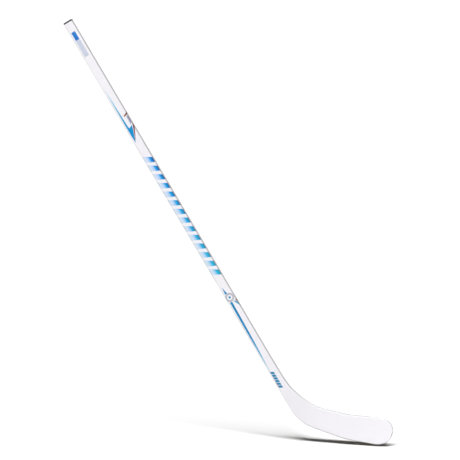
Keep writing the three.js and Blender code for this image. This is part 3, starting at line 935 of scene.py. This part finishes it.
UPPER_STRIPE = [
    (-7.2, 1107), (-8.0, 944.3), (-6.6, 921), (9.5, 968.6), (9.3, 972.1),
    (-1.5, 967), (-2.4, 973), (-3.7, 1007.2), (-5.8, 1107),
]
UPPER_ACCENT = [(2.8, 1002), (23, 1008), (23, 1014), (2.4, 1006)]
LOWER_ACCENT = [(-2.2, 929), (18, 972), (18, 986), (1.2, 942), (-3, 930.2)]
UPPER_SHADE = [(7.4, 975), (12.4, 977), (15.4, 989), (15.4, 1003), (8.2, 1000)]
LOWER_STRIPE = [
    (-7.2, 390.5), (-7.8, 355), (-8.8, 261), (-9.6, 163),
    (-8.0, 163), (-3.7, 261), (-1.1, 355), (-0.2, 390.5),
]
BADGE_DROP = [(-7.6, 417.5), (-0.2, 417.5), (-2.4, 426), (-5.2, 439.5)]
BADGE_BARB = [(4.6, 390.4), (8.8, 381.5), (19, 363.5), (19, 369.5), (14, 380), (9.6, 388.5)]
BADGE_RED = [(13.2, 384.5), (19, 374), (19, 390), (12.5, 393), (11.6, 389)]
HEEL_RED = [(-11.4, 114), (-10, 110), (-10, 126), (-11.4, 128)]


def make_marks(side_name, side):
    return [
        make_film(f"upper_stripe_film_{side_name}", [UPPER_STRIPE], side, SKY_STRIPE,
                  [f"upper_stripe_{side_name}"]),
        make_film(f"lower_stripe_film_{side_name}", [LOWER_STRIPE], side, DEEP_STRIPE,
                  [f"lower_stripe_{side_name}"]),
    ]


def make_front_marks():
    side = SIDES["front"]
    marks = [
        ("upper_accent_film", UPPER_ACCENT, RED_INK, "red_ink", ["upper_accent_front"]),
        ("lower_accent_film", LOWER_ACCENT, RED_INK, "red_ink", ["lower_accent_front"]),
        ("upper_shade_film", UPPER_SHADE, SHADE_INK, "pale_ink", []),
        ("badge_drop_film", BADGE_DROP, TEAL_INK, "blue_ink", ["badge_tick_front"]),
        ("badge_barb_film", BADGE_BARB, TEAL_INK, "blue_ink", []),
        ("badge_red_film", BADGE_RED, RED_INK, "red_ink", ["badge_accent_front"]),
        ("heel_red_film", HEEL_RED, RED_INK, "red_ink", []),
        ("label_block_film", upright(-6.3, 5.9, 1259.7, 1286), LABEL_BLUE, "deep_blue_ink",
         ["label_block_front"]),
        ("label_panel_film", upright(-7.3, 6.6, 1206.8, 1258.8), LABEL_PALE, "pale_ink",
         ["label_panel_front"]),
    ]
    return [make_film(name, [points], side, ink, nodes)
            for name, points, ink, slot, nodes in marks]


marks = make_front_marks()
for side_name, side in SIDES.items():
    marks += make_marks(side_name, side)
print("single marks:", len(marks))

# %% The round badge: a ring of quads and a dot
BADGE_HEIGHT = 404.3
BADGE_RING = (7.9, 13.2)
BADGE_DOT = 3.4
BADGE_STEPS = 72


def circle_point(radius, step):
    angle = 2 * math.pi * step / BADGE_STEPS
    return (radius * math.cos(angle), BADGE_HEIGHT + radius * math.sin(angle))


def make_badge(side_name, side):
    inner, outer = BADGE_RING
    ring = [[circle_point(inner, step), circle_point(outer, step),
             circle_point(outer, step + 1), circle_point(inner, step + 1)]
            for step in range(BADGE_STEPS)]
    dot = [[circle_point(BADGE_DOT, step) for step in range(BADGE_STEPS)]]
    return [
        make_film(f"badge_ring_film_{side_name}", ring, side, GREY_INK,
                  [f"badge_ring_{side_name}"]),
        make_film(f"badge_dot_film_{side_name}", dot, side, TEAL_INK,
                  [f"badge_dot_{side_name}"]),
    ]


for side_name, side in SIDES.items():
    make_badge(side_name, side)

# %% The dashes at the heel
HEEL_DASH_COUNT = 6
HEEL_DASH_FIRST = 154
HEEL_DASH_PITCH = 9
HEEL_DASH_LENGTH = 7.4
HEEL_DASH_LEFT, HEEL_DASH_RIGHT = -9.4, 0.8


def make_heel_dashes():
    made = []
    for dash in range(HEEL_DASH_COUNT):
        bottom = HEEL_DASH_FIRST - dash * HEEL_DASH_PITCH
        points = slanted_bar(bottom, HEEL_DASH_LENGTH, HEEL_DASH_LEFT, HEEL_DASH_RIGHT)
        made.append(make_film(f"heel_dash_film_{dash + 1}", [points], SIDES["front"], HEEL_INK,
                              [f"heel_dash_{dash + 1}_front"]))
    return made


print("heel dashes:", len(make_heel_dashes()))

# %% [markdown]
# ## What is inside
#
# The CAD pieces that nobody sees keep their CAD shape: foam cores, the rib between them, the
# toe filler and the tenon. They only get a finish, so that a stick taken apart looks right.

# %% Finishes for the inner pieces
INNER_FINISH = {
    "tenon_sleeve": BARE_LAMINATE,
    "blade_rib": BARE_LAMINATE,
    "tenon_core": CORE_FOAM,
    "hosel_core": CORE_FOAM,
    "blade_core_upper": CORE_FOAM,
    "blade_core_lower": CORE_FOAM,
    "toe_filler": CORE_FOAM,
}
for node_name, material in INNER_FINISH.items():
    node = frame["nodes"][node_name]
    node.data.materials.clear()
    node.data.materials.append(material)
print("inner pieces:", len(INNER_FINISH))

# %% [markdown]
# ## Floor, light and camera
#
# The studio is plain: a white floor that runs out of the picture, and a long soft box in front
# and above. The box is a short row of small suns side by side. One wide sun would blur the
# shadow in every direction. The row blurs it along the blade only, so it stays thin and dark at
# the toe and fades to the left as the shaft rises. The stick is held by its grip, with the toe
# a few millimetres off the floor, and that gap lets the shadow show below the sole.
#
# A real white floor would throw so much light back that the shadow turned pale and the
# narrow side as bright as the broad one. So the floor gives no bounce, and the lower half of the
# sky gives a weaker one. The white shells give the floor no bounce either, because a white blade
# a few millimetres away would light its own shadow. Two level suns light the face and the back.
# Being level, they graze the floor and leave its shadow dark.

# %% The floor
object_low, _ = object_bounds()
FLOOR_SIZE = 400.0
TOE_CLEARANCE = 5.5 * MM


def make_floor():
    bm = bmesh.new()
    half = FLOOR_SIZE / 2
    corners = [(-half, -half), (half, -half), (half, half), (-half, half)]
    level = object_low.z - TOE_CLEARANCE
    bm.faces.new([bm.verts.new((x, y, level)) for x, y in corners])
    mesh = bpy.data.meshes.new("studio_floor")
    bm.to_mesh(mesh)
    bm.free()
    floor = bpy.data.objects.new("studio_floor", mesh)
    bpy.context.scene.collection.objects.link(floor)
    material, _, shader, _ = start_material("studio_white", Roughness=0.9)
    shader.inputs["Base Color"].default_value = (1, 1, 1, 1)
    shader.inputs["Specular IOR Level"].default_value = 0.0
    mesh.materials.append(material)
    floor.visible_diffuse = False
    floor.visible_glossy = False
    return floor


make_floor()
for shell in (shaft_shell, blade_front, blade_back):
    shell.visible_diffuse = False


# %% Light
CAMERA_AZIMUTH = 11.3
HORIZON_BLUR = 0.05


def make_sun(name, azimuth, elevation, strength, spread):
    """A sun seen at an azimuth (0 is the front, positive towards +X) and elevation."""
    data = bpy.data.lights.new(name, "SUN")
    data.energy = strength
    data.angle = math.radians(spread)
    light = bpy.data.objects.new(name, data)
    bpy.context.scene.collection.objects.link(light)
    a, e = math.radians(azimuth), math.radians(elevation)
    back = Vector((math.sin(a) * math.cos(e), -math.cos(a) * math.cos(e), math.sin(e)))
    light.rotation_euler = back.to_track_quat("Z", "Y").to_euler()
    return light


def make_sky(above, below, seen):
    """A dark studio above, a bright floor below, and pure white where the camera looks past."""
    world = bpy.data.worlds.new("studio_sky")
    bpy.context.scene.world = world
    world.use_nodes = True
    tree = world.node_tree
    tree.nodes.clear()
    link = tree.links.new
    where = tree.nodes.new("ShaderNodeTexCoord")
    split = tree.nodes.new("ShaderNodeSeparateXYZ")
    link(where.outputs["Generated"], split.inputs[0])
    height = add_node(tree, "ShaderNodeMapRange",
                      **{"From Min": -HORIZON_BLUR, "From Max": HORIZON_BLUR,
                         "To Min": below, "To Max": above})
    link(split.outputs["Z"], height.inputs["Value"])
    dim = tree.nodes.new("ShaderNodeBackground")
    link(height.outputs["Result"], dim.inputs["Strength"])
    bright = tree.nodes.new("ShaderNodeBackground")
    bright.inputs["Strength"].default_value = seen
    path = tree.nodes.new("ShaderNodeLightPath")
    mix = tree.nodes.new("ShaderNodeMixShader")
    out = tree.nodes.new("ShaderNodeOutputWorld")
    link(path.outputs["Is Camera Ray"], mix.inputs["Fac"])
    link(dim.outputs[0], mix.inputs[1])
    link(bright.outputs[0], mix.inputs[2])
    link(mix.outputs[0], out.inputs["Surface"])


def make_soft_box(count, half_width, forward, strength, spread):
    """A long soft box across the picture, as a row of suns. Sizes are per unit of height."""
    for lamp in range(count):
        sideways = half_width * (2 * lamp / (count - 1) - 1)
        azimuth = CAMERA_AZIMUTH + math.degrees(math.atan2(sideways, forward))
        elevation = math.degrees(math.atan2(1, math.hypot(sideways, forward)))
        make_sun(f"soft_box_{lamp + 1}", azimuth, elevation, strength / count, spread)


make_soft_box(count=7, half_width=0.35, forward=0.65, strength=4.06, spread=6)
make_sun("side_sun", azimuth=-42, elevation=0.5, strength=2.3, spread=5)
make_sun("back_sun", azimuth=190, elevation=0.5, strength=3.6, spread=5)
make_sky(above=0.012, below=0.37, seen=1.2)
bpy.context.scene.view_settings.view_transform = "Standard"

# %% Camera
CAMERA_ELEVATION = 8
PICTURE_SPAN = 1.315
AIM = (0.3968, -0.0032, -0.4617)
LENS_MM = 300
SENSOR_MM = 36


def make_camera():
    data = bpy.data.cameras.new("studio_camera")
    data.lens = LENS_MM
    data.sensor_width = SENSOR_MM
    data.clip_end = 500
    camera = bpy.data.objects.new("studio_camera", data)
    bpy.context.scene.collection.objects.link(camera)
    a, e = math.radians(CAMERA_AZIMUTH), math.radians(CAMERA_ELEVATION)
    back = Vector((math.sin(a) * math.cos(e), -math.cos(a) * math.cos(e), math.sin(e)))
    distance = PICTURE_SPAN * LENS_MM / SENSOR_MM
    centre = Vector(AIM)
    camera.location = centre + back * distance
    camera.rotation_euler = back.to_track_quat("Z", "Y").to_euler()
    bpy.context.scene.camera = camera
    return camera


make_camera()
